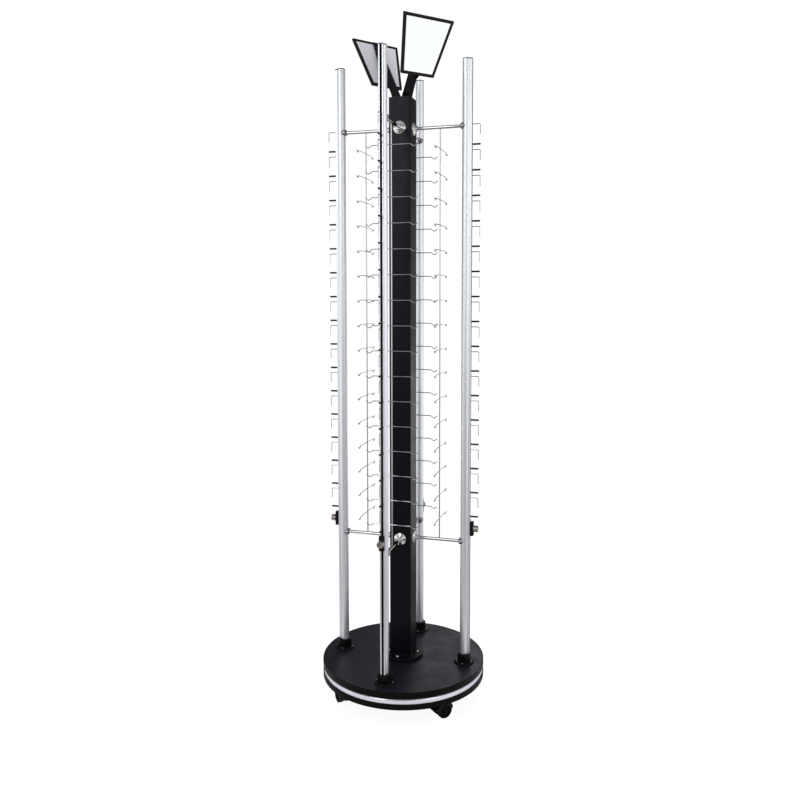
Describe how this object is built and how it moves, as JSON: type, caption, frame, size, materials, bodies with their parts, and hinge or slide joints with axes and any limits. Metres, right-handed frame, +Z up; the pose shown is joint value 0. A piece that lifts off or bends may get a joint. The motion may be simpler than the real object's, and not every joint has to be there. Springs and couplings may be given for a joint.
{
  "type": "eyeglass display rack",
  "caption": "Floor-standing rotating rack for spectacles: castered round base, square column, slotted tubes with nose pegs and sliding lock hooks, notched temple rests and tilted mirrors.",
  "frame": {"origin": "on the floor under the column's axis", "axes": "+Z up along the column; -Y towards the front tube; +X towards the right tube"},
  "size_m": [0.5, 0.5, 2.011],
  "materials": {
    "black_board": "matt black laminate",
    "black_steel": "black powder coat",
    "black_plastic": "moulded black",
    "black_rubber": "matt black sleeves",
    "satin_aluminium": "satin anodised extrusion",
    "trim_aluminium": "satin",
    "chrome": "polished plating",
    "nickel": "nickel plating",
    "zinc_steel": "bright zinc plating",
    "mirror_glass": "silvered glass with a pale grey back"
  },
  "bodies": {
    "base": {"bottom_disc": "black_board", "trim_ring": "trim_aluminium", "bearing_lower_race": "zinc_steel"},
    "turntable": {"bearing_upper_race": "zinc_steel", "top_disc": "black_board", "column_foot": "black_steel", "column_post": "black_steel", "slotted_tube_front": "satin_aluminium", "tube_cap_front": "black_plastic", "tube_collar_front": "black_plastic", "nose_peg_strip_front": "black_rubber", "temple_rest_front": "zinc_steel", "upper_arm_front": "chrome", "lower_arm_front": "chrome", "slotted_tube_right": "satin_aluminium", "tube_cap_right": "black_plastic", "tube_collar_right": "black_plastic", "nose_peg_strip_right": "black_rubber", "temple_rest_right": "zinc_steel", "upper_arm_right": "chrome", "lower_arm_right": "chrome", "slotted_tube_back": "satin_aluminium", "tube_cap_back": "black_plastic", "tube_collar_back": "black_plastic", "nose_peg_strip_back": "black_rubber", "temple_rest_back": "zinc_steel", "upper_arm_back": "chrome", "lower_arm_back": "chrome", "slotted_tube_left": "satin_aluminium", "tube_cap_left": "black_plastic", "tube_collar_left": "black_plastic", "nose_peg_strip_left": "black_rubber", "temple_rest_left": "zinc_steel", "upper_arm_left": "chrome", "lower_arm_left": "chrome", "mirror_bracket": "black_steel", "mirror_rim_front": "black_plastic", "mirror_glass_front": "mirror_glass", "mirror_rim_back": "black_plastic", "mirror_glass_back": "mirror_glass"},
    "caster_front_right": {"caster_hood_front_right": "black_plastic"},
    "wheels_front_right": {"caster_wheels_front_right": "black_plastic"},
    "caster_back_right": {"caster_hood_back_right": "black_plastic"},
    "wheels_back_right": {"caster_wheels_back_right": "black_plastic"},
    "caster_back_left": {"caster_hood_back_left": "black_plastic"},
    "wheels_back_left": {"caster_wheels_back_left": "black_plastic"},
    "caster_front_left": {"caster_hood_front_left": "black_plastic"},
    "wheels_front_left": {"caster_wheels_front_left": "black_plastic"},
    "lock_bar_front": {"lock_bar_front": "black_steel", "lock_barrel_front": "nickel"},
    "lock_plug_front": {"lock_plug_front": "nickel"},
    "lock_bar_right": {"lock_bar_right": "black_steel", "lock_barrel_right": "nickel"},
    "lock_plug_right": {"lock_plug_right": "nickel"},
    "lock_bar_back": {"lock_bar_back": "black_steel", "lock_barrel_back": "nickel"},
    "lock_plug_back": {"lock_plug_back": "nickel"},
    "lock_bar_left": {"lock_bar_left": "black_steel", "lock_barrel_left": "nickel"},
    "lock_plug_left": {"lock_plug_left": "nickel"}
  },
  "joints": [
    {"name": "turntable_spin", "type": "hinge", "parent": "base", "child": "turntable", "pos_m": [0, 0, 0.0845], "axis": [0, 0, 1], "continuous": true},
    {"name": "caster_swivel_front_right", "type": "hinge", "parent": "base", "child": "caster_front_right", "pos_m": [0.14213, -0.14213, 0.06], "axis": [0, 0, 1], "continuous": true},
    {"name": "wheel_roll_front_right", "type": "hinge", "parent": "caster_front_right", "child": "wheels_front_right", "pos_m": [0.15551, -0.12726, 0.02354], "axis": [-0.7431, 0.6691, 0], "continuous": true},
    {"name": "caster_swivel_back_right", "type": "hinge", "parent": "base", "child": "caster_back_right", "pos_m": [0.14213, 0.14213, 0.06], "axis": [0, 0, 1], "continuous": true},
    {"name": "wheel_roll_back_right", "type": "hinge", "parent": "caster_back_right", "child": "wheels_back_right", "pos_m": [0.15945, 0.15213, 0.02354], "axis": [-0.5, 0.866, 0], "continuous": true},
    {"name": "caster_swivel_back_left", "type": "hinge", "parent": "base", "child": "caster_back_left", "pos_m": [-0.14213, 0.14213, 0.06], "axis": [0, 0, 1], "continuous": true},
    {"name": "wheel_roll_back_left", "type": "hinge", "parent": "caster_back_left", "child": "wheels_back_left", "pos_m": [-0.16025, 0.15058, 0.02354], "axis": [-0.4226, -0.9063, 0], "continuous": true},
    {"name": "caster_swivel_front_left", "type": "hinge", "parent": "base", "child": "caster_front_left", "pos_m": [-0.14213, -0.14213, 0.06], "axis": [0, 0, 1], "continuous": true},
    {"name": "wheel_roll_front_left", "type": "hinge", "parent": "caster_front_left", "child": "wheels_front_left", "pos_m": [-0.15498, -0.12681, 0.02354], "axis": [-0.766, -0.6428, 0], "continuous": true},
    {"name": "lock_slide_front", "type": "slide", "parent": "turntable", "child": "lock_bar_front", "axis": [0, 0, -1], "range_m": [0, 0.02]},
    {"name": "key_turn_front", "type": "hinge", "parent": "lock_bar_front", "child": "lock_plug_front", "pos_m": [0, -0.194, 0.532], "axis": [0, -1, 0], "range_deg": [0, 90]},
    {"name": "lock_slide_right", "type": "slide", "parent": "turntable", "child": "lock_bar_right", "axis": [0, 0, -1], "range_m": [0, 0.02]},
    {"name": "key_turn_right", "type": "hinge", "parent": "lock_bar_right", "child": "lock_plug_right", "pos_m": [0.194, 0, 0.532], "axis": [1, 0, 0], "range_deg": [0, 90]},
    {"name": "lock_slide_back", "type": "slide", "parent": "turntable", "child": "lock_bar_back", "axis": [0, 0, -1], "range_m": [0, 0.02]},
    {"name": "key_turn_back", "type": "hinge", "parent": "lock_bar_back", "child": "lock_plug_back", "pos_m": [0, 0.194, 0.532], "axis": [0, 1, 0], "range_deg": [0, 90]},
    {"name": "lock_slide_left", "type": "slide", "parent": "turntable", "child": "lock_bar_left", "axis": [0, 0, -1], "range_m": [0, 0.02]},
    {"name": "key_turn_left", "type": "hinge", "parent": "lock_bar_left", "child": "lock_plug_left", "pos_m": [-0.194, 0, 0.532], "axis": [-1, 0, 0], "range_deg": [0, 90]}
  ]
}
